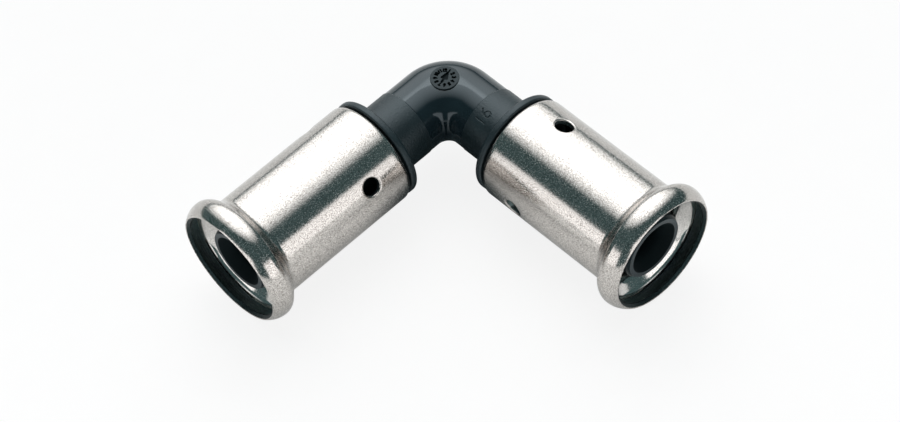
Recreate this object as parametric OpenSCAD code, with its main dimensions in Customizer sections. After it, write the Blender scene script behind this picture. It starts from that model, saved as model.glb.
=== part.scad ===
// Press elbow, 90 degrees, for 16 mm multilayer pipe.
// One moulded plastic body, two captive steel press sleeves and two O-rings on each spigot.
// Millimetres. Every piece is first built about the point where the two pipe axes cross,
// with one port along +X and the other along +Y; the whole part is then moved so that
// it stands on z = 0 with the middle of its outline over the origin.
// "t" is a distance from the crossing point along a port's axis, and "r" a distance from that axis.

/* [Pipe] */
// Outside diameter of the pipe that the fitting takes (mm)
pipe_od = 16; // [14:0.1:20]
// Wall thickness of the pipe (mm)
pipe_wall = 2; // [1.5:0.05:2.5]
// Room between the pipe and the steel sleeve before pressing, on the radius (mm)
pipe_room = 0.3; // [0.1:0.05:0.6]
// Room between the spigot and the bore of the pipe, on the radius (mm)
spigot_room = 0.15; // [0.05:0.01:0.3]

/* [Bend] */
// Wall thickness of the moulded tube between the collars (mm)
tube_wall = 2.3; // [1.8:0.1:3]
// Centreline radius of the bend's outer half (mm)
bend_r = 3.8; // [3:0.1:6]
// Radius of the rounded inner corner (mm)
corner_round = 1.3; // [0.8:0.1:2.5]
// How far that rounding starts below the surface of the tubes (mm)
corner_sink = 0.03; // [0.01:0.01:0.06]
// How far the top of the bend's inner half lies below the top of the tubes (mm)
corner_drop = 0.15; // [0.08:0.01:0.4]
// How far the grained bands next to the collars stand above the tube (mm)
band_height = 0.08; // [0.04:0.01:0.2]
// Where each grained band begins (t, mm)
band_start = 9.4; // [8.5:0.1:12]
// Diameter of the date disc on top of the bend (mm)
date_d = 4.8; // [3:0.1:6]
// How far the date disc stands above the top of the tube (mm)
date_height = 0.15; // [0.05:0.05:0.5]
// How far the middle of the date disc lies from both pipe axes (mm)
date_place = 1.6; // [1:0.1:2.5]

/* [Collar] */
// How far the collar's rim lies below the outside of the sleeve (mm)
collar_inset = 0.17; // [0:0.01:0.5]
// Where the bend's side of each collar lies (t, mm)
collar_start = 15.5; // [14.5:0.1:16.2]
// Thickness of each collar (mm)
collar_thick = 1.3; // [1.1:0.1:2]
// Radius of the collar's rim on the bend's side (mm)
rim_round = 0.5; // [0.3:0.05:0.7]
// Radius of the collar's rim on the sleeve's side (mm)
rim_edge = 0.3; // [0.1:0.05:0.5]
// Radius of the fillet between the tube and the collar (mm)
collar_fillet = 0.4; // [0.2:0.1:1.5]

/* [Sleeve seat] */
// Play of the sleeve on its seat, along the axis and on the radius (mm)
sleeve_play = 0.1; // [0.05:0.01:0.2]
// Room between the rib that keeps the sleeve on its seat and the inside of the sleeve (mm)
rib_room = 0.55; // [0.3:0.05:0.8]
// Height of that rib above the seat (mm)
rib_height = 0.55; // [0.3:0.05:0.7]
// Flat width on top of the rib (mm)
rib_land = 0.4; // [0.2:0.05:0.8]
// Length of the taper from the rib down to the pipe stop (mm)
rib_taper = 2.4; // [1.5:0.1:3]
// Height of the pipe stop above the spigot (mm)
stop_height = 1.1; // [0.8:0.05:1.3]

/* [Sleeve] */
// Sheet thickness of the press sleeve (mm)
sheet = 0.9; // [0.7:0.05:1]
// Outside radius of the turn into the in-turned end (mm)
curl_r = 1.2; // [1:0.05:1.5]
// Where the top of the mouth bead lies (t, mm)
bead_at = 46.1; // [44:0.1:50]
// How far the mouth bead stands above the sleeve (mm)
bead_height = 2.14; // [1.9:0.01:2.6]
// Outside radius of the hollow in front of the bead (mm)
bead_hollow = 1.6; // [1:0.1:2.5]
// Slope of the sheet where it climbs to the bead (degrees)
bead_slope = 48; // [40:1:60]
// Outside radius of the bead on the sleeve's side (mm)
bead_rear = 2.2; // [1.6:0.1:3]
// Outside radius of the bead on the mouth's side (mm)
bead_front = 3.8; // [3:0.1:5]
// Angle through which the bead turns in towards its lip (degrees)
lip_turn = 45; // [30:1:60]
// Diameter of the sight holes (mm)
sight_d = 3.1; // [2:0.1:4]
// Where the middle of the sight holes lies (t, mm)
sight_at = 24.15; // [23.5:0.05:27]
// Number of sight holes round each sleeve
sight_count = 3; // [2:1:6]
// Turn of the first sight hole on the X sleeve, from +Z towards +Y (degrees)
sight_turn_x = 60; // [0:1:120]
// Turn of the first sight hole on the Y sleeve, from +Z towards +X (degrees)
sight_turn_y = -22; // [-60:1:60]

/* [Spigot] */
// How far the tip of the spigot lies behind the lip of the sleeve (mm)
tip_depth = 2.05; // [0.5:0.05:6]
// Drop of the lead-in chamfer at the tip, on the radius (mm)
tip_drop = 0.33; // [0.2:0.01:0.6]
// Length of the lead-in chamfer at the tip (mm)
tip_lead = 0.6; // [0.3:0.1:2]
// Width of the flat ring at the tip (mm)
tip_ring = 0.78; // [0.4:0.01:1.2]
// Length of the funnel from the tip down to the waterway (mm)
funnel_length = 2.4; // [1:0.1:3]
// Number of grip teeth behind the rear O-ring
grip_count = 4; // [2:1:5]
// Distance from one grip tooth to the next (mm)
grip_pitch = 1.6; // [1:0.1:2]
// Depth of the notch behind each grip tooth (mm)
grip_depth = 0.25; // [0.1:0.05:0.4]
// Plain length between the rear groove and the first grip tooth (mm)
grip_gap = 1.2; // [0.8:0.1:2]

/* [O-rings] */
// Cord diameter of the O-rings (mm)
cord_d = 1.5; // [1.2:0.05:1.7]
// How far each O-ring stands out of the spigot (mm)
cord_proud = 0.35; // [0.2:0.01:0.45]
// Room left between an O-ring and the floor of its groove (mm)
cord_room = 0.02; // [0:0.01:0.1]
// Width of the groove left free beside the cord (mm)
groove_spare = 0.4; // [0.2:0.05:0.6]
// Wall left between the floor of a groove and the waterway (mm)
core_wall = 0.98; // [0.8:0.01:1.2]
// Distance from the tip to the middle of the front groove (mm)
front_groove = 5.8; // [5:0.1:7]
// Distance between the middles of the two grooves (mm)
groove_pitch = 6.4; // [4:0.1:9]

/* [Hidden] */
$fn = 96;
// the sleeve goes round the pipe and the spigot into it
sleeve_in = pipe_od / 2 + pipe_room;
sleeve_out = sleeve_in + sheet;
spigot_r = pipe_od / 2 - pipe_wall - spigot_room;
// the O-rings sit in the spigot, the waterway runs under their grooves and the tube lies round it
cord_r = cord_d / 2;
ring_r = spigot_r + cord_proud - cord_r;
groove_r = ring_r - cord_r - cord_room;
groove_width = cord_d + groove_spare;
bore_r = groove_r - core_wall;
tube_r = bore_r + tube_wall;
// collar, seat and rib follow the sleeve
band_r = tube_r + band_height;
collar_r = sleeve_out - collar_inset;
rib_r = sleeve_in - rib_room;
seat_r = rib_r - rib_height;
collar_end = collar_start + collar_thick;
sleeve_start = collar_end + sleeve_play;
rib_start = sleeve_start + sheet + sleeve_play;
stop_at = rib_start + rib_land + rib_taper;
stop_r = spigot_r + stop_height;
// sleeve: the sheet leaves the wall, climbs at the slope and turns over the bead
curl_at = sleeve_start + curl_r;
bead_r = sleeve_out + bead_height;
climb_rise = bead_height - (bead_hollow + bead_rear) * (1 - cos(bead_slope));
climb_run = climb_rise / tan(bead_slope);
wall_end = bead_at - (bead_hollow + bead_rear) * sin(bead_slope) - climb_run;
lip_at = bead_at + bead_front * sin(lip_turn);
// the spigot ends behind the lip
tip_at = lip_at - tip_depth;
tip_r = spigot_r - tip_drop;
funnel_r = tip_r - tip_ring;
front_at = tip_at - front_groove;
rear_at = front_at - groove_pitch;
grip_at = rear_at - groove_width / 2 - grip_gap;
// the bend's inner half: a ring about a vertical axis in the inner corner, almost as thick as the tubes
corner_at = tube_r - corner_sink + corner_round;
corner_cord = tube_r - corner_drop;
// the part stands on its beads, with the middle of its outline over the origin
middle = (lip_at - bead_r) / 2;

// Moves a piece from the crossing of the pipe axes to the part's own frame.
module in_frame() {
    translate([-middle, -middle, bead_r]) children();
}

// Turns a piece that was built along +Z so that it lies along a port: "x" or "y".
module along(port) {
    rotate(port == "x" ? [0, 90, 0] : [-90, 0, 0]) children();
}

// Quarter of a disc in the profile plane, centred on [r, t] and facing the given quadrant.
module quarter(place, radius, quadrant) {
    translate(place) rotate(90 * quadrant) intersection() {
        circle(radius);
        square(radius);
    }
}

// Piece of bent sheet in the profile plane, between two angles measured from +r towards +t.
module sheet_turn(place, inner, outer, from, to) {
    far = 2 * outer;
    translate(place) intersection() {
        difference() {
            circle(outer);
            circle(inner);
        }
        polygon([
            [0, 0],
            far * [cos(from), sin(from)],
            far * [cos((from + to) / 2), sin((from + to) / 2)],
            far * [cos(to), sin(to)],
        ]);
    }
}

// Half section of one arm of the body, from the bend to the tip of the spigot.
module arm_section() {
    difference() {
        union() {
            polygon([
                [0, bend_r],
                [tube_r, bend_r],
                [tube_r, band_start],
                [band_r, band_start],
                [band_r, collar_start],
                [collar_r - rim_round, collar_start],
                [collar_r - rim_round, collar_start + rim_round],
                [collar_r, collar_start + rim_round],
                [collar_r, collar_end - rim_edge],
                [collar_r - rim_edge, collar_end - rim_edge],
                [collar_r - rim_edge, collar_end],
                [seat_r, collar_end],
                [seat_r, rib_start],
                [rib_r, rib_start],
                [rib_r, rib_start + rib_land],
                [stop_r, stop_at],
                [spigot_r, stop_at],
                [spigot_r, tip_at - tip_lead],
                [tip_r, tip_at],
                [0, tip_at],
            ]);
            quarter([collar_r - rim_round, collar_start + rim_round], rim_round, 3);
            quarter([collar_r - rim_edge, collar_end - rim_edge], rim_edge, 0);
            difference() {
                translate([band_r, collar_start - collar_fillet]) square(collar_fillet);
                translate([band_r + collar_fillet, collar_start - collar_fillet]) circle(collar_fillet);
            }
        }
        for (at = [front_at, rear_at])
            translate([groove_r, at - groove_width / 2]) square([spigot_r, groove_width]);
        for (i = [0 : grip_count - 1]) polygon([
            [spigot_r, grip_at - i * grip_pitch],
            [spigot_r - grip_depth, grip_at - i * grip_pitch],
            [spigot_r, grip_at - (i + 1) * grip_pitch],
        ]);
    }
}

// Ring sector of a round section about a vertical axis over [place, place], over the bend's quarter turn.
module bend_ring(place, centreline, radius) {
    translate([place, place, 0]) rotate(180) rotate_extrude(angle = 90) intersection() {
        translate([centreline, 0]) circle(radius);
        translate([0, -radius]) square([centreline + radius, 2 * radius]);
    }
}

// Waterway through both arms, with a funnel at each tip.
module waterway() {
    bend_ring(bend_r, bend_r, bore_r);
    for (port = ["x", "y"]) along(port) rotate_extrude() polygon([
        [0, bend_r],
        [bore_r, bend_r],
        [bore_r, tip_at - funnel_length],
        [funnel_r, tip_at],
        [funnel_r, tip_at + tip_depth],
        [0, tip_at + tip_depth],
    ]);
}

// The moulded body: bend, collars, spigots and date disc in one piece.
module elbow_body() {
    color("#2f3a3e") in_frame() difference() {
        union() {
            bend_ring(bend_r, bend_r, tube_r);
            bend_ring(corner_at, corner_round + corner_cord, corner_cord);
            for (port = ["x", "y"]) along(port) rotate_extrude() arm_section();
            translate([date_place, date_place, bore_r + tube_wall / 2])
                cylinder(d = date_d, h = tube_wall / 2 + date_height);
        }
        waterway();
    }
}

// Half section of a press sleeve: in-turned end, wall, hollow, climb and bead, all of one sheet.
module sleeve_section() {
    climb_r = sleeve_out + bead_hollow * (1 - cos(bead_slope));
    climb_t = wall_end + bead_hollow * sin(bead_slope);
    side = sheet * [-cos(bead_slope), sin(bead_slope)];
    translate([seat_r + sleeve_play, sleeve_start])
        square([sleeve_out - curl_r - seat_r - sleeve_play, sheet]);
    sheet_turn([sleeve_out - curl_r, curl_at], curl_r - sheet, curl_r, -90, 0);
    translate([sleeve_in, curl_at]) square([sheet, wall_end - curl_at]);
    sheet_turn([sleeve_out + bead_hollow, wall_end], bead_hollow, bead_hollow + sheet, 180 - bead_slope, 180);
    polygon([
        [climb_r, climb_t],
        [climb_r + climb_rise, climb_t + climb_run],
        [climb_r + climb_rise, climb_t + climb_run] + side,
        [climb_r, climb_t] + side,
    ]);
    sheet_turn([bead_r - bead_rear, bead_at], bead_rear - sheet, bead_rear, -bead_slope, 0);
    sheet_turn([bead_r - bead_front, bead_at], bead_front - sheet, bead_front, 0, lip_turn);
}

// One press sleeve along +Z, with its sight holes counted from the given turn.
module sleeve(turn) {
    difference() {
        rotate_extrude() sleeve_section();
        for (i = [0 : sight_count - 1])
            rotate(turn + i * 360 / sight_count)
                translate([sleeve_in - sheet, 0, sight_at]) rotate([0, 90, 0])
                    cylinder(d = sight_d, h = 3 * sheet);
    }
}

module sleeve_x() {
    color("#b9b8b4") in_frame() along("x") sleeve(180 - sight_turn_x);
}

module sleeve_y() {
    color("#b9b8b4") in_frame() along("y") sleeve(sight_turn_y - 90);
}

// One O-ring along +Z at the given distance from the crossing point.
module oring(at) {
    translate([0, 0, at]) rotate_extrude() translate([ring_r, 0]) circle(cord_r);
}

module oring_x_front() {
    color("#161616") in_frame() along("x") oring(front_at);
}

module oring_x_rear() {
    color("#161616") in_frame() along("x") oring(rear_at);
}

module oring_y_front() {
    color("#161616") in_frame() along("y") oring(front_at);
}

module oring_y_rear() {
    color("#161616") in_frame() along("y") oring(rear_at);
}

elbow_body();
sleeve_x();
sleeve_y();
oring_x_front();
oring_x_rear();
oring_y_front();
oring_y_rear();
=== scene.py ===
"""Looks of a press-fit pipe elbow: a dark moulded bend, two bent-sheet stainless sleeves and four seals.

Lengths are in millimetres from the crossing of the two pipe axes: t runs out along a port, r is the
distance from that port's axis and phi the angle round it, from +Z. The frame itself is in metres.
"""
import math

import bpy
import numpy as np
from mathutils import Matrix


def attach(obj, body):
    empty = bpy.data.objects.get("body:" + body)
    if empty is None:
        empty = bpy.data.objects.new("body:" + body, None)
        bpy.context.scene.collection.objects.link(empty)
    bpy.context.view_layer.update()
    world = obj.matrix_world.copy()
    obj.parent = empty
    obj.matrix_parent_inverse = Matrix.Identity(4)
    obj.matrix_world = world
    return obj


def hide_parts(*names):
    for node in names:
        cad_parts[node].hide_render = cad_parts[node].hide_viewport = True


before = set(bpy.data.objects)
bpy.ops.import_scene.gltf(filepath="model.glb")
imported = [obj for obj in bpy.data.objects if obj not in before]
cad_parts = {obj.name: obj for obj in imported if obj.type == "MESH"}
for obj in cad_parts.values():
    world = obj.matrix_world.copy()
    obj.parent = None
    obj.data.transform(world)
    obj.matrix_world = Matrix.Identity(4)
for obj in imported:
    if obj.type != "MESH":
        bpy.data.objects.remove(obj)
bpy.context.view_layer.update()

# Sizes of the part, the same as in its source
MIDDLE = 18.7235
BEAD_R = 11.34
CROSSING = np.array([-MIDDLE, -MIDDLE, BEAD_R])
TUBE_R = 6.0
BEND_R = 3.8
RIDGE_R = 7.27
BAND_START = 9.4
BAND_R = 6.08
COLLAR_START = 15.5
COLLAR_END = 16.8
COLLAR_R = 9.03
COLLAR_FILLET = 0.4
RIM_ROUND = 0.5
RIM_EDGE = 0.3
SEAT_R = 7.2
RIB_R = 7.75
RIB_START = 17.9
RIB_LAND = 0.4
STOP_AT = 20.7
STOP_R = 6.95
SPIGOT_R = 5.85
GRIP_AT = 32.387
GRIP_PITCH = 1.6
GRIP_DEPTH = 0.25
GROOVES = (34.537, 40.937)
GROOVE_R = 4.68
GROOVE_WIDTH = 1.9
TIP_AT = 46.737
TIP_R = 5.52
TIP_LEAD = 0.6
FUNNEL_R = 4.74
FUNNEL_LENGTH = 2.4
BORE_R = 3.7
SLEEVE_START = 16.9
SLEEVE_IN = 8.3
SLEEVE_OUT = 9.2
SHEET = 0.9
FLANGE_R = 7.3
CURL_R = 1.2
HOLLOW_R = 1.6
SLOPE = math.radians(48)
BEAD_AT = 46.1
BEAD_REAR = 2.2
BEAD_FRONT = 3.8
LIP_TURN = math.radians(45)
WALL_END = 42.4813
SIGHT_R = 1.55
SIGHT_AT = 24.15
SIGHT_TURN = {"x": 60.0, "y": -22.0}
SIGHT_COUNT = 3
DATE_PLACE = 1.6
DATE_R = 2.4
DATE_TOP = 6.15

# Sizes that only the looks have: cut edge and rolling rings of the mouth, rim of a sight hole
LIP_ROUND = 0.2
LIP_RAGGED = 0.06
RING_HEIGHT = 0.02
RINGS_PER_TURN = 42
HOLE_RIM = 0.36
HOLE_DROP = 0.27
# the pipe size sunk into the Y arm's band: along the arm, round it, and its figures.
# A stroke is half the width of its bottom and the width of its sloping edge
MARK_T = (10.2, 12.8)
MARK_TURN = math.radians(26.2)
MARK_HEIGHT = 1.9
MARK_WIDE = 0.92
MARK_DEPTH = 0.12
MARK_STROKE = (0.04, 0.13)
# the date disc, its figures and the hidden pocket that it stands in
DATE_ROUND = 0.08
DATE_FOOT = 4.4
DATE_DEPTH = 0.42
DATE_POCKET = 0.7
FIGURE_HEIGHT = 0.54
FIGURE_WIDE = 0.8
FIGURE_RING = 1.53
FIGURE_STROKE = (0.07, 0.06)
ARROW_TURN = math.radians(198)
ARROW_TAIL = -0.95
ARROW_TIP = 1.05
ARROW_HALF = 0.42
ARROW_STROKE = (0.15, 0.08)

# Fineness of the grids: cells round a sleeve, and half the square of cells left out at a sight hole
CELLS = 288
CELL = 2 * math.pi / CELLS
REACH = 13
STEP_T = 0.2
# cells round an arm, planes through the bend, and the window of cells that holds the pipe size
TURNS = 160
BEND_ROWS = 97
BORE_ROWS = 33
BEND_END = 7.6
MARK_COLUMNS = (5, 19)
# edges that turn by more than this stay sharp
SHARP = math.radians(32)

# Studio, in metres: the camera, the lamp's way, the way across it and its brightness
CAMERA_PLACE = (0.175528, 0.220752, 0.406049)
CAMERA_TURN = (218.67, 54.28, -7.03)
CAMERA_LENS = 121.49
LAMP_WAY = (-0.413, -0.510, 0.755)
LAMP_ACROSS = (-0.777, 0.630, 0.0)
LAMP_GLOW = 2.75
LAMP_STRIP = 2.1
# the paper, with the share of plain white that the camera and mirroring surfaces see on it
PAPER_HALF = 3.0
PAPER_SEEN = 0.85
PAPER_MIRRORED = 0.18
# middle of the painted shade on the paper between the arms, which only reflections show
BETWEEN_ARMS = (-0.0125, -0.0125, 0.0)
# the two cards, and the black rod that only reflections show: a painted dark reflection
CARD_OUT = 0.1813
CARD_FOOT = 0.012
CARD_GLOW = 1.61
ROD_PLACE = -0.0081
ROD_R = 0.0015
ROD_ENDS = (0.002, 0.0132)


def linear(colour):
    """Linear red, green, blue and alpha of an sRGB hex colour."""
    part = np.array([int(colour[i:i + 2], 16) for i in (1, 3, 5)]) / 255
    part = np.where(part <= 0.04045, part / 12.92, ((part + 0.055) / 1.055) ** 2.4)
    return (*part.tolist(), 1.0)


# Mesh tools

def arc(t, r, radius, start, stop, count=12):
    """Points (t, r) on a circle round (t, r); angles in radians from +r towards +t."""
    a = np.linspace(start, stop, count + 1)
    return np.stack([t + radius * np.sin(a), r + radius * np.cos(a)], 1)


def dense(line, step):
    """The same line with its long straight runs cut into steps, so that smooth shading stays local."""
    line = np.asarray(line, float)
    out = [line[:1]]
    for a, b in zip(line[:-1], line[1:]):
        n = max(1, math.ceil(np.linalg.norm(b - a) / step))
        out.append(a + (b - a) * (np.arange(1, n + 1) / n)[:, None])
    return np.concatenate(out)


def at_port(port, t, across, height):
    """Points at t out along a port, across it and at a height, on a grid that the three share."""
    return np.stack(np.broadcast_arrays(*([t, across, height] if port == "x" else [across, t, height])), -1)


def lathe(line, phi, port):
    """Grid of points of a line (t, r) turned round a port's axis: across r sin phi, height r cos phi."""
    return at_port(port, line[:, :1], line[:, 1:] * np.sin(phi), line[:, 1:] * np.cos(phi))


def skin(points, wrap_rows=False, wrap_columns=True, flip=False):
    """Points of a grid as a list, with the quads between its rows and columns."""
    rows, columns = points.shape[:2]
    i = np.arange(rows if wrap_rows else rows - 1)[:, None]
    j = np.arange(columns if wrap_columns else columns - 1)[None, :]
    a = i * columns + j
    b = (i + 1) % rows * columns + j
    c = (i + 1) % rows * columns + (j + 1) % columns
    d = i * columns + (j + 1) % columns
    quads = np.stack([d, c, b, a] if flip else [a, b, c, d], -1)
    return points.reshape(-1, 3), quads


def join(*skins):
    """Several (points, quads) as one, with points that fall together made one."""
    start = np.cumsum([0] + [len(p) for p, _ in skins])
    points = np.concatenate([p for p, _ in skins])
    quads = np.concatenate([q.reshape(-1, 4) + s for (_, q), s in zip(skins, start)])
    _, first, same = np.unique(np.round(points, 5), axis=0, return_index=True, return_inverse=True)
    return points[first], same.reshape(-1)[quads]


def new_object(name, points, faces, materials):
    """Object at the origin whose mesh has these points, in metres, and faces."""
    mesh = bpy.data.meshes.new(name)
    mesh.from_pydata(points.tolist(), [], faces.tolist())
    for material in materials:
        mesh.materials.append(material)
    obj = bpy.data.objects.new(name, mesh)
    bpy.context.scene.collection.objects.link(obj)
    return obj


def piece(name, points, quads, materials, which, stands_for=()):
    """One piece of the object from points in mm and quads: smooth where it curves, riding on the part.

    Quads become triangles, without those that have shrunk to a line, and all turn outwards, which the
    sign of the volume tells. which gives each quad's place in the list of materials.
    """
    tris = np.concatenate([quads[:, [0, 1, 2]], quads[:, [0, 2, 3]]])
    kind = np.concatenate([which, which])
    whole = (tris[:, 0] != tris[:, 1]) & (tris[:, 1] != tris[:, 2]) & (tris[:, 0] != tris[:, 2])
    tris = tris[whole]
    corner = points[tris]
    volume = np.einsum("ij,ij->", corner[:, 0], np.cross(corner[:, 1], corner[:, 2]))
    if volume < 0:
        tris = tris[:, ::-1]
    obj = new_object(name, (points + CROSSING) * 0.001, tris, materials)
    obj.data.polygons.foreach_set("material_index", kind[whole].astype(np.int32))
    obj.data.shade_smooth()
    obj.data.set_sharp_from_angle(angle=SHARP)
    obj.data.update()
    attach(obj, "root")
    if stands_for:
        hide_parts(*stands_for)


# Materials

def emptied(owner):
    """The node tree of a material or world, cleared for nodes of its own."""
    owner.use_nodes = True
    owner.node_tree.nodes.clear()
    return owner.node_tree


def put(nodes, kind, links=(), stops=(), **settings):
    """Add a node with its settings, links and, on a colour ramp, its stops.

    A link is (source, input), and its source is a node, for its first output, an output or a plain value.
    A stop is (place, colour).
    """
    node = nodes.nodes.new(kind)
    for key, value in settings.items():
        if hasattr(node, key):
            setattr(node, key, value)
        else:
            node.inputs[key.replace("_", " ")].default_value = value
    for source, name in links:
        if isinstance(source, bpy.types.Node):
            source = source.outputs[0]
        if isinstance(source, bpy.types.NodeSocket):
            nodes.links.new(source, node.inputs[name])
        else:
            node.inputs[name].default_value = source
    points = node.color_ramp.elements if stops else ()
    while len(points) < len(stops):
        points.new(0.5)
    for point, (place, colour) in zip(points, stops):
        point.position = place
        point.color = linear(colour)
    return node


def grain(nodes, size, depth, detail=3.0):
    """Object coordinates, noise on them with grains of size mm, and a surface that it lifts by depth mm."""
    place = put(nodes, "ShaderNodeTexCoord").outputs["Object"]
    noise = put(nodes, "ShaderNodeTexNoise", [(place, "Vector")], Scale=1000 / size, Detail=detail)
    bump = put(nodes, "ShaderNodeBump", [(noise, "Height")], Distance=depth / 1000, Strength=1.0)
    return place, noise, bump


def plastic(name, dark, light, roughness, size, depth, specular=0.5):
    """Dark blue-grey engineering plastic: colour faintly clouded every 4 mm and a moulded grain."""
    material = bpy.data.materials.new(name)
    nodes = emptied(material)
    place, _, bump = grain(nodes, size, depth)
    cloud = put(nodes, "ShaderNodeTexNoise", [(place, "Vector")], Scale=1000 / 4.0, Detail=4.0)
    tint = put(nodes, "ShaderNodeValToRGB", [(cloud, "Fac")], [(0.35, dark), (0.65, light)])
    # the reflections are tinted faintly blue: painted colour of the light, as the lamps are near white
    shader = put(nodes, "ShaderNodeBsdfPrincipled", [(tint, "Base Color"), (bump, "Normal")],
                 Roughness=roughness, Specular_Tint=linear("#ebf9ff"), Specular_IOR_Level=specular)
    put(nodes, "ShaderNodeOutputMaterial", [(shader, "Surface")])
    return material


# Polished part of the mould: smooth, with a clear gloss
GLOSS_PLASTIC = plastic("moulded_plastic_gloss", "#141f24", "#19252a", 0.09, 1.6, 0.0015)
# Spark-eroded part of the mould: an even fine grain that breaks the gloss, drawn coarser so that it shows
GRAIN_PLASTIC = plastic("moulded_plastic_grained", "#121e22", "#172529", 0.4, 0.3, 0.06)
# Face of the date disc: a bead-blasted steel insert leaves it matt
MATT_PLASTIC = plastic("moulded_plastic_matt", "#0f191c", "#142023", 0.6, 0.3, 0.03)
# Inside of the spigots and sunk marks, and the date disc's side wall: left rough by core pins and engraving,
# with painted shade as well: a darker colour and almost no gloss, so that they read as shaded
DULL_PLASTIC = plastic("moulded_plastic_dull_painted_shade", "#0c1517", "#111b1d", 0.7, 0.3, 0.01, 0.15)


def steel(name, dark, middle, light, roughness, size, depth):
    """Stainless sheet: neutral metal whose fine pickled grain speckles each reflection and its edges."""
    material = bpy.data.materials.new(name)
    nodes = emptied(material)
    _, fleck, bump = grain(nodes, size, depth, 1.0)
    tint = put(nodes, "ShaderNodeValToRGB", [(fleck, "Fac")], [(0.34, dark), (0.5, middle), (0.66, light)])
    gloss = put(nodes, "ShaderNodeMapRange", [(fleck, "Value")], From_Min=0.5, From_Max=0.68,
                To_Min=roughness[0], To_Max=roughness[1])
    shader = put(nodes, "ShaderNodeBsdfPrincipled",
                 [(tint, "Base Color"), (gloss, "Roughness"), (bump, "Normal")], Metallic=1.0)
    put(nodes, "ShaderNodeOutputMaterial", [(shader, "Surface")])
    return material


# Sheet as rolled and pickled: satin, with mirror-like streaks that break up into fine specks.
# The real grain is about 0.05 mm, and is drawn at 0.13 mm so that it shows
SATIN_STEEL = steel("stainless_sheet_satin", "#837d78", "#c5bfba", "#e9e4df", (0.1, 0.29), 0.13, 0.005)
# Sheared edge of the sheet at the mouth: dull and darker
SHEARED_STEEL = steel("stainless_sheared_edge", "#161f20", "#222d2e", "#2f3a3b", (0.4, 0.5), 0.19, 0.02)
# Inside of the rolled mouth and wall of the punched holes: left dull by the tool, and blue-grey
ROLLED_STEEL = steel("stainless_rolled_inside", "#93a8aa", "#a2b6b8", "#b1c3c5", (0.32, 0.38), 0.19, 0.003)
# Inside of the drawn wall: burnished by the punch, so brighter and smoother than the outside
DRAWN_STEEL = steel("stainless_drawn_inside", "#bcb8b4", "#d3cfcb", "#e6e2de", (0.12, 0.2), 0.19, 0.001)


def rubber(name, dark, light, roughness, size, depth):
    """Black seal rubber: a faint dusty bloom that follows its fine moulded grain."""
    material = bpy.data.materials.new(name)
    nodes = emptied(material)
    _, fleck, bump = grain(nodes, size, depth)
    tint = put(nodes, "ShaderNodeValToRGB", [(fleck, "Fac")], [(0.3, dark), (0.75, light)])
    shader = put(nodes, "ShaderNodeBsdfPrincipled", [(tint, "Base Color"), (bump, "Normal")],
                 Roughness=roughness)
    put(nodes, "ShaderNodeOutputMaterial", [(shader, "Surface")])
    return material


# Moulded seal rubber: black and soft to the eye, with a grey bloom
RUBBER = rubber("seal_rubber_black", "#131415", "#1e2021", 0.55, 0.15, 0.004)

# Press sleeves

SLEEVE_FINISHES = [SATIN_STEEL, SHEARED_STEEL, ROLLED_STEEL, DRAWN_STEEL]
SATIN, SHEARED, ROLLED, DRAWN = range(4)


def sleeve_line():
    """Closed section of the bent sheet (t, r): outside from the in-turned end to the lip, inside back again.

    Arcs about the curl, the hollow and the bead joined by straight runs, the inside one sheet further in.
    """
    top = BEAD_R - BEAD_REAR
    front = BEAD_R - BEAD_FRONT
    front_in = BEAD_FRONT - SHEET
    curl_t = SLEEVE_START + CURL_R
    curl_r = SLEEVE_OUT - CURL_R
    hollow_r = SLEEVE_OUT + HOLLOW_R
    patch = SIGHT_AT + STEP_T * np.arange(-REACH, REACH + 1)

    def wall(r):
        """Straight wall at r, with even steps where the sight holes are let in."""
        before = dense([[curl_t, r], [patch[0], r]], 0.6)
        beside = np.stack([patch, np.full(len(patch), r)], 1)
        beyond = dense([[patch[-1], r], [WALL_END, r]], 0.6)
        return np.concatenate([before, beside, beyond])

    # inside of the bead's front, with the faint rings that rolling leaves
    bend = np.linspace(LIP_TURN - LIP_ROUND / (front_in + LIP_ROUND), 0, 60)
    fade = np.sin(np.pi * np.linspace(0, 1, 60))
    reach = front_in + RING_HEIGHT * (1 - np.cos(bend * RINGS_PER_TURN)) * fade
    rolled = np.stack([BEAD_AT + reach * np.sin(bend), front + reach * np.cos(bend)], 1)
    # the cut edge of the sheet at the lip, its two corners rounded
    b = np.linspace(0, math.pi / 2, 6)
    reach = np.concatenate([BEAD_FRONT - LIP_ROUND * (1 - np.cos(b)),
                            front_in + LIP_ROUND * (1 - np.cos(b[::-1]))])
    back = LIP_ROUND * (1 - np.sin(np.concatenate([b, b[::-1]])))
    turn = LIP_TURN - back / np.repeat([BEAD_FRONT - LIP_ROUND, front_in + LIP_ROUND], 6)
    lip = np.stack([BEAD_AT + reach * np.sin(turn), front + reach * np.cos(turn)], 1)
    line = np.concatenate([
        dense([[SLEEVE_START, FLANGE_R], [SLEEVE_START, curl_r]], 0.2),
        arc(curl_t, curl_r, CURL_R, -math.pi / 2, 0, 16),
        wall(SLEEVE_OUT),
        arc(WALL_END, hollow_r, HOLLOW_R, math.pi, math.pi - SLOPE, 14),
        arc(BEAD_AT, top, BEAD_REAR, -SLOPE, 0, 16),
        arc(BEAD_AT, front, BEAD_FRONT, 0, LIP_TURN - LIP_ROUND / (BEAD_FRONT - LIP_ROUND), 16),
        lip,
        rolled,
        arc(BEAD_AT, top, BEAD_REAR - SHEET, 0, -SLOPE, 12),
        arc(WALL_END, hollow_r, HOLLOW_R + SHEET, math.pi - SLOPE, math.pi, 16),
        wall(SLEEVE_IN)[::-1],
        arc(curl_t, curl_r, CURL_R - SHEET, 0, -math.pi / 2, 8),
        [[SLEEVE_START + SHEET, FLANGE_R]],
    ])
    keep = np.linalg.norm(line - np.roll(line, 1, 0), axis=1) > 1e-6
    return line[keep]


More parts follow.
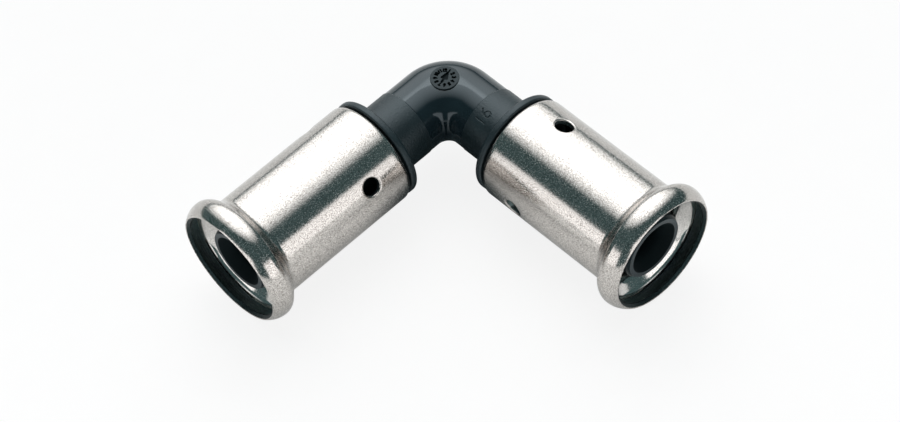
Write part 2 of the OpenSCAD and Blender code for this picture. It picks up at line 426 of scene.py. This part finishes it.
def sight_hole():
    """Rings of one sight hole (t along, w across, r from the port's axis), and the finish between them.

    The rings run from the edge of the square that is left out of the wall to the hole's rim, over a rim
    that the punch has rounded, down through the sheet and out to the same square inside.
    """
    side = np.arange(-REACH, REACH)
    most = np.full(2 * REACH, REACH)
    far_t = np.concatenate([side, most, -side, -most]) * STEP_T
    far_phi = np.concatenate([-most, side, most, -side]) * CELL
    angle = np.arctan2(far_phi * SLEEVE_OUT, far_t)
    along = np.cos(angle)
    across = np.sin(angle)

    def spread(r, radius, share):
        """Rings at r between the square, at share 0, and a circle, at share 1."""
        far_w = r * np.sin(far_phi)
        return far_t + (radius * along - far_t) * share, far_w + (radius * across - far_w) * share, r

    blend = np.linspace(0, 1, 9)[:, None]
    roll = np.linspace(0, math.pi / 2, 8)[1:, None]
    deep = np.linspace(SLEEVE_OUT - HOLE_DROP, SLEEVE_IN, 6)[1:, None]
    rim = SIGHT_R + HOLE_RIM * (1 - np.sin(roll))
    parts = [
        spread(SLEEVE_OUT, SIGHT_R + HOLE_RIM, blend),
        (rim * along, rim * across, SLEEVE_OUT - HOLE_DROP * (1 - np.cos(roll))),
        (SIGHT_R * along, SIGHT_R * across, deep),
        spread(SLEEVE_IN, SIGHT_R, blend[-2::-1]),
    ]
    rings = np.concatenate([np.stack(np.broadcast_arrays(*part)) for part in parts], 1)
    # the punched wall is as dull as the rolled mouth
    outside = len(blend) + len(roll) - 1
    finish = np.where(np.arange(rings.shape[1] - 1) < outside, SATIN, ROLLED)
    return rings, np.repeat(finish, len(angle))


def sleeve(port):
    """The section turned round the port, with a square of cells left out for each of three sight holes."""
    line = sleeve_line()
    middle = (line + np.roll(line, -1, 0)) / 2
    turn = math.radians(SIGHT_TURN[port])
    grid = lathe(line, turn + CELL * np.arange(CELLS), port)
    # the sheared lip: its edge is ragged, and its rows have a finish of their own
    front = BEAD_R - BEAD_FRONT
    turned = np.arctan2(line[:, 0] - BEAD_AT, line[:, 1] - front) > LIP_TURN - 0.03
    turned &= line[:, 0] > BEAD_AT
    grid[turned, :, "xy".index(port)] -= np.random.default_rng(16).uniform(0, LIP_RAGGED, CELLS)
    reach = np.hypot(middle[:, 0] - BEAD_AT, middle[:, 1] - front)
    sheared = turned & np.roll(turned, -1) & (reach < BEAD_FRONT - 0.12)
    rolled = (middle[:, 0] > BEAD_AT) & (reach < BEAD_FRONT - SHEET + 0.06)
    within = np.arange(len(line)) > np.argmax(line[:, 0])
    finish = np.select([sheared, rolled, within], [SHEARED, ROLLED, DRAWN], SATIN)
    # the wall with its squares left out, and the holes that fill them
    in_wall = np.abs(middle[:, 0] - SIGHT_AT) < REACH * STEP_T
    in_wall &= np.abs(middle[:, 1] - (SLEEVE_IN + SLEEVE_OUT) / 2) < SHEET / 2 + 0.01
    column = (np.arange(CELLS) + REACH) % (CELLS // SIGHT_COUNT)
    cut = in_wall[:, None] & (column < 2 * REACH)
    points, quads = skin(grid, wrap_rows=True)
    skins = [(points, quads[~cut])]
    (t, w, r), hole_finish = sight_hole()
    for k in range(SIGHT_COUNT):
        phi = turn + k * 2 * math.pi / SIGHT_COUNT + np.arcsin(w / r)
        skins.append(skin(at_port(port, t + SIGHT_AT, r * np.sin(phi), r * np.cos(phi)), flip=True))
    wall_finish = np.broadcast_to(finish[:, None], cut.shape)[~cut]
    which = np.concatenate([wall_finish, np.tile(hole_finish, SIGHT_COUNT)])
    points, quads = join(*skins)
    piece("press_sleeve_" + port, points, quads, SLEEVE_FINISHES, which,
          ["sleeve_" + port])


for port in "xy":
    sleeve(port)

# Moulded body

BODY_FINISHES = [GLOSS_PLASTIC, GRAIN_PLASTIC, DULL_PLASTIC]
GLOSS, GRAINED, DULL = range(3)


def arm_line():
    """Section of one arm (t, r): out from the bend over band, collar, seat and spigot, back down the bore."""
    half = GROOVE_WIDTH / 2
    teeth = [[[at - GRIP_PITCH, SPIGOT_R], [at, SPIGOT_R - GRIP_DEPTH], [at + 1e-3, SPIGOT_R]]
             for at in GRIP_AT - GRIP_PITCH * np.arange(3, -1, -1)]
    grooves = [[[at - half, SPIGOT_R], [at - half, GROOVE_R], [at + half, GROOVE_R], [at + half, SPIGOT_R]]
               for at in GROOVES]
    return dense(np.concatenate([
        [[BEND_END, TUBE_R], [BAND_START - 0.06, TUBE_R], [BAND_START + 0.06, BAND_R]],
        [[MARK_T[0], BAND_R], [MARK_T[1], BAND_R]],
        arc(COLLAR_START - COLLAR_FILLET, BAND_R + COLLAR_FILLET, COLLAR_FILLET, math.pi, math.pi / 2, 10),
        arc(COLLAR_START + RIM_ROUND, COLLAR_R - RIM_ROUND, RIM_ROUND, -math.pi / 2, 0, 12),
        arc(COLLAR_END - RIM_EDGE, COLLAR_R - RIM_EDGE, RIM_EDGE, 0, math.pi / 2, 8),
        [[COLLAR_END, SEAT_R], [RIB_START, SEAT_R], [RIB_START, RIB_R], [RIB_START + RIB_LAND, RIB_R]],
        [[STOP_AT, STOP_R], [STOP_AT, SPIGOT_R]],
        *teeth,
        *grooves,
        [[TIP_AT - TIP_LEAD, SPIGOT_R], [TIP_AT, TIP_R], [TIP_AT, FUNNEL_R]],
        [[TIP_AT - FUNNEL_LENGTH, BORE_R], [BEND_R, BORE_R]],
    ]), 1.0)


def arm_finish(line):
    """Finish of each row of an arm's grid: grained beyond the plain tube, dull inside and past the stop."""
    t, r = ((line[:-1] + line[1:]) / 2).T
    # inside and past the stop: the dull finish with painted shade
    inside = (t > STOP_AT) | (r < TUBE_R - 0.5)
    inside &= (t < TIP_AT - TIP_LEAD) | (r < FUNNEL_R)
    return np.select([inside, t > BAND_START], [DULL, GRAINED], GLOSS)


def bend_depth(x, y, z):
    """Distance out of the bend's skin, in mm: all that lies within a tube's radius of a flat sheet.

    The sheet fills the room between the outer ridge, which turns about a near axis, and the inner ridge,
    which turns about the inner corner. So the top is level between two smooth shoulders.
    """
    turn = np.hypot(x - BEND_R, y - BEND_R) - BEND_R
    outer = np.where((x < BEND_R) & (y < BEND_R), turn, np.where(x > y, -y, -x))
    turn = RIDGE_R - np.hypot(x - RIDGE_R, y - RIDGE_R)
    inner = np.where((x < RIDGE_R) & (y < RIDGE_R), turn, np.where(x > y, y, x))
    return np.hypot(np.maximum(np.maximum(outer, inner), 0), z) - TUBE_R


def bent(middle, reach, rows):
    """Points on planes that turn a quarter about an upright line at (middle, middle).

    In each plane they lie at a reach from a point that is as far from that line, on rays all round it.
    """
    theta = np.radians(np.linspace(270, 180, rows))[:, None]
    ray = np.linspace(0, 2 * math.pi, TURNS, endpoint=False)[None, :] + math.pi / 2
    flat = middle + reach * np.cos(ray)
    z = np.broadcast_to(reach * np.sin(ray), (rows, TURNS))
    return np.stack([middle + flat * np.cos(theta), middle + flat * np.sin(theta), z], -1)


def bend_skin():
    """Outside of the bend, on planes that turn about an upright line in the inner corner.

    In each plane the skin is found along rays from the middle of the tube, by halving a reach of
    2 to 12 mm 40 times. A pocket with a sloping wall is left for the date disc, hidden under it.
    """
    low = np.full((BEND_ROWS, TURNS), 2.0)
    high = np.full((BEND_ROWS, TURNS), 12.0)
    for _ in range(40):
        reach = (low + high) / 2
        inside = bend_depth(*np.moveaxis(bent(BEND_END, reach, BEND_ROWS), -1, 0)) < 0
        low = np.where(inside, reach, low)
        high = np.where(inside, high, reach)
    reach = (low + high) / 2
    reach[[0, -1]] = TUBE_R
    points = bent(BEND_END, reach, BEND_ROWS)
    x, y, z = np.moveaxis(points, -1, 0)
    under = np.clip((DATE_R - 0.1 - np.hypot(x - DATE_PLACE, y - DATE_PLACE)) / 0.4, 0, 1)
    points[..., 2] -= np.where(z > 0, DATE_POCKET * under, 0)
    return points


# Figures as strokes in a box one wide and 1.6 high
FIGURE_BOX = 1.6
FIGURES = {
    "0": [(0, 0.4), (0, 1.2), (0.25, 1.6), (0.75, 1.6), (1, 1.2), (1, 0.4), (0.75, 0), (0.25, 0), (0, 0.4)],
    "1": [(0.5, 1.6), (0.5, 0)],
    "2": [(0, 1.25), (0.25, 1.6), (0.75, 1.6), (1, 1.25), (1, 1), (0, 0), (1, 0)],
    "3": [(0, 1.4), (0.3, 1.6), (0.75, 1.6), (1, 1.25), (0.5, 0.85), (1, 0.45), (0.75, 0),
          (0.3, 0), (0, 0.2)],
    "4": [(0.75, 0), (0.75, 1.6), (0, 0.5), (1, 0.5)],
    "5": [(0.95, 1.6), (0.15, 1.6), (0.1, 0.95), (0.6, 1), (1, 0.65), (0.9, 0.2), (0.55, 0), (0, 0.2)],
    "6": [(0.8, 1.6), (0.3, 1.2), (0, 0.55), (0.15, 0.15), (0.5, 0), (0.85, 0.15), (1, 0.5), (0.85, 0.8),
          (0.5, 0.95), (0.1, 0.7)],
    "7": [(0, 1.6), (1, 1.6), (0.35, 0)],
    "8": [(0.5, 0.85), (0.1, 1.15), (0.2, 1.5), (0.5, 1.6), (0.8, 1.5), (0.9, 1.15), (0.5, 0.85), (0.05, 0.5),
          (0.15, 0.1), (0.5, 0), (0.85, 0.1), (0.95, 0.5), (0.5, 0.85)],
    "9": [(0.2, 0), (0.7, 0.4), (1, 1.05), (0.85, 1.45), (0.5, 1.6), (0.15, 1.45), (0, 1.1), (0.15, 0.8),
          (0.5, 0.65), (0.9, 0.9)],
}


def strokes(text, height, wide):
    """Segments of a row of figures with its middle at the origin, in mm: starts and ends as (n, 2, 2)."""
    out = []
    for k, figure in enumerate(text):
        line = np.array(FIGURES[figure]) - (0.5, FIGURE_BOX / 2)
        line[:, 0] += 1.35 * (k - (len(text) - 1) / 2)
        out.append(np.stack([line[:-1], line[1:]], 1))
    return np.concatenate(out) * (wide, 1) * height / FIGURE_BOX


def sunk(u, v, segments, half, edge):
    """How deep points (u, v) lie in strokes, 0 to 1: full within half of a segment, easing out over edge."""
    near = np.full(u.shape, 9.0)
    for start, stop in segments:
        way = stop - start
        share = np.clip(((u - start[0]) * way[0] + (v - start[1]) * way[1]) / (way @ way), 0, 1)
        near = np.minimum(near, np.hypot(u - start[0] - share * way[0], v - start[1] - share * way[1]))
    ease = np.clip((half + edge - near) / edge, 0, 1)
    return ease * ease * (3 - 2 * ease)


def stitch(coarse, fine, shares):
    """Triangles between a closed ring of points and a finer ring inside it.

    shares[j] fine steps go to coarse step j: half fan out from its start and half from its end.
    """
    start = np.concatenate([[0], np.cumsum(shares)])
    coarse = np.append(coarse, coarse[0])
    fine = np.append(fine, fine[0])
    quads = []
    for j in range(len(shares)):
        i = np.arange(start[j], start[j + 1])
        half = (start[j] + start[j + 1]) // 2
        tip = np.where(i < half, coarse[j], coarse[j + 1])
        quads.append(np.stack([tip, fine[i], fine[i + 1], fine[i + 1]], 1))
        quads.append(np.array([[coarse[j], fine[half], coarse[j + 1], coarse[j + 1]]]))
    return np.concatenate(quads)


def edge_of(index):
    """Indices on the edge of a grid of indices, in the order that goes first along its first row."""
    return np.concatenate([index[0, :-1], index[:-1, -1], index[-1, :0:-1], index[:0:-1, 0]])


def marked_arm(line, phi):
    """The Y arm with the pipe size sunk into its band, as points, quads and finish.

    A window of the turned grid is filled by a finer grid, whose r is less by the depth of the strokes.
    """
    points, quads = skin(lathe(line, phi, "y"))
    first, last = (int(np.argmin(np.hypot(line[:, 0] - t, line[:, 1] - BAND_R))) for t in MARK_T)
    left, right = MARK_COLUMNS
    rows = last - first
    columns = right - left
    window = np.zeros(quads.shape[:2], bool)
    window[first:last, left:right] = True
    finer_t = 30
    finer_phi = 8
    seam_t = 0.1
    seam_phi = 0.015
    t = np.linspace(MARK_T[0] + seam_t, MARK_T[1] - seam_t, rows * finer_t + 1)[:, None]
    turn = np.linspace(phi[left] + seam_phi, phi[right] - seam_phi, columns * finer_phi + 1)[None, :]
    u, v = np.broadcast_arrays((MARK_TURN - turn) * BAND_R, sum(MARK_T) / 2 - t)
    r = BAND_R - MARK_DEPTH * sunk(u, v, strokes("16", MARK_HEIGHT, MARK_WIDE), *MARK_STROKE)
    fine, fine_quads = skin(at_port("y", t, r * np.sin(turn), r * np.cos(turn)), wrap_columns=False)
    coarse_ring = edge_of(np.arange(len(points)).reshape(-1, TURNS)[first:last + 1, left:right + 1])
    fine_ring = edge_of(len(points) + np.arange(len(fine)).reshape(t.size, turn.size))
    seam = stitch(coarse_ring, fine_ring, np.repeat([finer_phi, finer_t] * 2, [columns, rows] * 2))
    added = np.concatenate([fine_quads.reshape(-1, 4) + len(points), seam])
    around = np.broadcast_to(arm_finish(line)[:, None], window.shape)[~window]
    which = np.concatenate([around, np.full(len(added), GRAINED)])
    return np.concatenate([points, fine]), np.concatenate([quads[~window], added]), which


def body():
    """Bend, arms and waterway as one closed skin, grained from the bands outwards."""
    line = arm_line()
    phi = np.linspace(0, 2 * math.pi, TURNS, endpoint=False)
    bend = skin(bend_skin())
    bore = skin(bent(BEND_R, BORE_R, BORE_ROWS), flip=True)
    plain = skin(lathe(line, phi, "x"), flip=True)
    *marked, marked_finish = marked_arm(line, phi)
    # the waterway through the bend gets the dull finish with painted shade
    within = np.repeat([GLOSS, DULL], [bend[1].size // 4, bore[1].size // 4])
    which = np.concatenate([within, np.repeat(arm_finish(line), TURNS), marked_finish])
    points, quads = join(bend, bore, plain, marked)
    piece("elbow_body_moulding", points, quads, BODY_FINISHES, which, ["elbow_body"])


body()


def pointing(turn):
    """Two ways in the disc's plane: out from its middle at an angle, and a quarter turn to the right."""
    return np.array([math.cos(turn), math.sin(turn)]), np.array([math.sin(turn), -math.cos(turn)])


def date_disc():
    """Date insert: a low round disc with a fine polar grid for its top, figures and an arrow sunk into it.

    The height is that of a section turned round the disc's middle, less the depth of the strokes.
    """
    phi = np.linspace(0, 2 * math.pi, 400, endpoint=False)
    edge = np.linspace(0, math.pi / 2, 10)
    flat = np.linspace(DATE_R - DATE_ROUND, 0.0, 84)[1:]
    away = np.concatenate([[0.0, DATE_R], DATE_R - DATE_ROUND * (1 - np.cos(edge)), flat])[:, None]
    rim = DATE_TOP - DATE_ROUND * (1 - np.sin(edge))
    up = np.concatenate([[DATE_FOOT, DATE_FOOT], rim, np.full(len(flat), DATE_TOP)])[:, None]
    u = away * np.cos(phi)
    v = away * np.sin(phi)
    months = []
    for month in range(1, 13):
        out, reading = pointing(math.radians(225 - 30 * month))
        figure = strokes(str(month), FIGURE_HEIGHT, FIGURE_WIDE)
        months.append(FIGURE_RING * out + figure[..., :1] * reading + figure[..., 1:] * out)
    out, aside = pointing(ARROW_TURN)
    shaft = np.array([[ARROW_TAIL * out, 0.2 * out]])
    base = np.linspace(-ARROW_HALF, ARROW_HALF, 5)[:, None] * aside - 0.1 * out
    head = np.stack(np.broadcast_arrays(ARROW_TIP * out, base), 1)
    figures = sunk(u, v, np.concatenate(months), *FIGURE_STROKE)
    arrow = sunk(u, v, np.concatenate([shaft, head]), *ARROW_STROKE)
    depth = np.where(up > DATE_TOP - 1e-9, np.maximum(figures, arrow), 0)
    # sunk figures, arrow and the side wall get the dull finish with painted shade, so that they read dark
    dull = (depth[:-1] + depth[1:] > 0.6) | (away[1:] > DATE_R - 1e-9)
    points, quads = join(skin(np.stack([DATE_PLACE + u, DATE_PLACE + v, up - DATE_DEPTH * depth], -1)))
    piece("date_disc", points, quads, [MATT_PLASTIC, DULL_PLASTIC], dull.reshape(-1))


date_disc()

# Seals: their solids stay as they are

for name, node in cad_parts.items():
    if name.startswith("oring"):
        node.data.materials.clear()
        node.data.materials.append(RUBBER)

# Studio

def window(nodes, *edges):
    """Product of eased edges, each (value, from, to, start): it goes from start, 0 or 1, to the other one."""
    product = 1.0
    for value, low, high, start in edges:
        ease = put(nodes, "ShaderNodeMapRange", [(value, "Value")], From_Min=low, From_Max=high,
                   To_Min=start, To_Max=1 - start, interpolation_type="SMOOTHSTEP")
        product = put(nodes, "ShaderNodeMath", [(product, 0), (ease, 1)], operation="MULTIPLY")
    return product


def floor():
    """Wide flat sheet of white paper, kept pale where the eye sees it so that only a faint shadow is left."""
    material = bpy.data.materials.new("white_paper")
    nodes = emptied(material)
    # plain paper, mottled every 5 mm
    place = put(nodes, "ShaderNodeTexCoord").outputs["Object"]
    mottle = put(nodes, "ShaderNodeTexNoise", [(place, "Vector")], Scale=1000 / 5.0, Detail=3.0)
    tint = put(nodes, "ShaderNodeValToRGB", [(mottle, "Fac")], [(0.3, "#f2f1f0"), (0.7, "#f6f5f4")])
    sheet = put(nodes, "ShaderNodeBsdfPrincipled", [(tint, "Base Color")], Roughness=0.9)
    # white for the camera, and a share of it for what mirrors the paper
    path = put(nodes, "ShaderNodeLightPath").outputs
    glossy = path["Is Glossy Ray"]
    mirrored = put(nodes, "ShaderNodeMath", [(glossy, 0), (path["Is Transmission Ray"], 1)],
                   operation="MAXIMUM")
    share = put(nodes, "ShaderNodeMath", [(mirrored, 0), (PAPER_MIRRORED, 1)], operation="MULTIPLY")
    seen = put(nodes, "ShaderNodeMath", [(path["Is Camera Ray"], 0), (PAPER_SEEN, 1), (share, 2)],
               operation="MULTIPLY_ADD")
    white = put(nodes, "ShaderNodeEmission", Color=linear("#ffffff"), Strength=1.0)
    paper = put(nodes, "ShaderNodeMixShader", [(seen, "Fac"), (sheet, 1), (white, 2)])
    # painted shade: for glossy rays only, the paper between the arms is darkened, standing for the part
    # keeping the light off it, so that the glossy bend shows it dark
    away = put(nodes, "ShaderNodeVectorMath", [(place, 0), (BETWEEN_ARMS, 1)], operation="DISTANCE")
    between = window(nodes, (away.outputs["Value"], 0.008, 0.021, 1))
    hidden = put(nodes, "ShaderNodeMath", [(between, 0), (glossy, 1)], operation="MULTIPLY")
    shade = put(nodes, "ShaderNodeBsdfDiffuse", Color=linear("#616a6c"))
    mix = put(nodes, "ShaderNodeMixShader", [(hidden, "Fac"), (paper, 1), (shade, 2)])
    put(nodes, "ShaderNodeOutputMaterial", [(mix, "Surface")])
    corners = PAPER_HALF * np.array([[-1, -1, 0], [1, -1, 0], [1, 1, 0], [-1, 1, 0]])
    new_object("floor", corners, np.array([[0, 1, 2, 3]]), [material])


floor()


def camera():
    """Long lens above the open side of the bend, as in the photograph."""
    yaw, pitch, roll = np.radians(CAMERA_TURN)
    ahead = np.array([np.sin(yaw) * np.cos(pitch), np.cos(yaw) * np.cos(pitch), -np.sin(pitch)])
    side = np.array([np.cos(yaw), -np.sin(yaw), 0])
    over = np.cross(side, ahead)
    place = np.eye(4)
    place[:3, 0] = side * np.cos(roll) + over * np.sin(roll)
    place[:3, 1] = over * np.cos(roll) - side * np.sin(roll)
    place[:3, 2] = -ahead
    place[:3, 3] = CAMERA_PLACE
    data = bpy.data.cameras.new("camera")
    data.sensor_fit = "HORIZONTAL"
    data.sensor_width = 36
    data.lens = CAMERA_LENS
    obj = bpy.data.objects.new("camera", data)
    obj.matrix_world = Matrix(place.tolist())
    bpy.context.scene.collection.objects.link(obj)
    bpy.context.scene.camera = obj


camera()


def studio():
    """Photo studio all round the part: a big soft lamp at the back in a dark room.

    The lamp is an oval glow about 49 degrees up, with a brighter strip across its middle.
    The camera itself sees plain white.
    """
    world = bpy.data.worlds.new("studio")
    bpy.context.scene.world = world
    nodes = emptied(world)
    way = put(nodes, "ShaderNodeTexCoord").outputs["Generated"]
    axes = put(nodes, "ShaderNodeSeparateXYZ", [(way, "Vector")]).outputs
    near, across = (
        put(nodes, "ShaderNodeVectorMath", [(way, 0), (line, 1)], operation="DOT_PRODUCT").outputs["Value"]
        for line in (LAMP_WAY, LAMP_ACROSS)
    )
    beside = put(nodes, "ShaderNodeMath", [(axes["X"], 0), (0.365, 1)], operation="ADD")
    # the oval: nearness to the lamp's middle, less a share of the squared distances aside
    oval = near
    for aside, share in ((across, -0.3), (beside, -0.12)):
        squared = put(nodes, "ShaderNodeMath", [(aside, 0), (aside, 1)], operation="MULTIPLY")
        oval = put(nodes, "ShaderNodeMath", [(squared, 0), (share, 1), (oval, 2)], operation="MULTIPLY_ADD")
    glow = put(nodes, "ShaderNodeMapRange", [(oval, "Value")], From_Min=0.46, From_Max=1.0, To_Max=LAMP_GLOW)
    above = window(nodes, (axes["Z"], -0.03, 0.26, 0))
    shown = put(nodes, "ShaderNodeMath", [(glow, 0), (above, 1)], operation="MULTIPLY")
    # the tube in the lamp: a brighter strip that ends sharply at its upper edge
    strip = window(nodes, (axes["Z"], 0.66, 0.825, 0), (axes["Z"], 0.826, 0.832, 1), (near, 0.86, 0.95, 0))
    lamp = put(nodes, "ShaderNodeMath", [(strip, 0), (LAMP_STRIP, 1), (shown, 2)], operation="MULTIPLY_ADD")
    dark = put(nodes, "ShaderNodeBackground", Color=linear("#4b6163"), Strength=1.0)
    back = put(nodes, "ShaderNodeBackground", [(lamp, "Strength")], Color=linear("#fefeff"))
    room = put(nodes, "ShaderNodeAddShader", [(dark, 0), (back, 1)])
    plain = put(nodes, "ShaderNodeBackground", Color=linear("#ffffff"), Strength=1.0)
    path = put(nodes, "ShaderNodeLightPath").outputs
    seen = put(nodes, "ShaderNodeMath", [(path["Is Camera Ray"], 0), (path["Is Transmission Ray"], 1)],
               operation="MAXIMUM")
    mix = put(nodes, "ShaderNodeMixShader", [(seen, "Fac"), (room, 1), (plain, 2)])
    put(nodes, "ShaderNodeOutputWorld", [(mix, "Surface")])


studio()


def card(name, port, ends, top):
    """White card lit from behind, upright across a port and out of the camera's sight.

    Along it the light fades in between the first two ends and out between the last two, and it fades
    out upwards between the two heights of its top.
    """
    material = bpy.data.materials.new(name)
    nodes = emptied(material)
    place = put(nodes, "ShaderNodeTexCoord").outputs["Object"]
    axes = put(nodes, "ShaderNodeSeparateXYZ", [(place, "Vector")]).outputs
    along = axes["Y" if port == "x" else "X"]
    lit = window(nodes, (along, *ends[:2], 0), (along, *ends[2:], 1), (axes["Z"], *top, 1))
    clear = put(nodes, "ShaderNodeBsdfTransparent")
    white = put(nodes, "ShaderNodeEmission", Color=linear("#fdfeff"), Strength=CARD_GLOW)
    mix = put(nodes, "ShaderNodeMixShader", [(lit, "Fac"), (clear, 1), (white, 2)])
    put(nodes, "ShaderNodeOutputMaterial", [(mix, "Surface")])
    across = np.array([ends[0], ends[3], ends[3], ends[0]])
    height = np.array([CARD_FOOT, CARD_FOOT, top[1], top[1]])
    obj = new_object(name, at_port(port, CARD_OUT, across, height), np.array([[0, 1, 2, 3]]), [material])
    obj.visible_camera = False


card("card_right", "x", (-0.116, -0.108, 0.062, 0.100), (0.098, 0.118))
card("card_left", "y", (-0.095, -0.087, 0.080, 0.122), (0.113, 0.133))


def flag():
    """Painted dark reflection: a thin black rod between the arms that only reflections show, being hidden
    from the camera, from diffuse light and from shadows. It is a circle moved straight up.

    The bend shows it as the dark line between the two streaks in its inner corner.
    """
    phi = np.linspace(0, 2 * math.pi, 25)
    height = np.array(ROD_ENDS)[:, None]
    rings = np.broadcast_arrays(ROD_PLACE + ROD_R * np.cos(phi), ROD_PLACE + ROD_R * np.sin(phi), height)
    points, quads = skin(np.stack(rings, -1), wrap_columns=False)
    obj = new_object("flag", points, quads.reshape(-1, 4), [RUBBER])
    obj.visible_camera = False
    obj.visible_diffuse = False
    obj.visible_shadow = False


flag()
bpy.context.scene.view_settings.view_transform = "Standard"

bpy.context.view_layer.update()
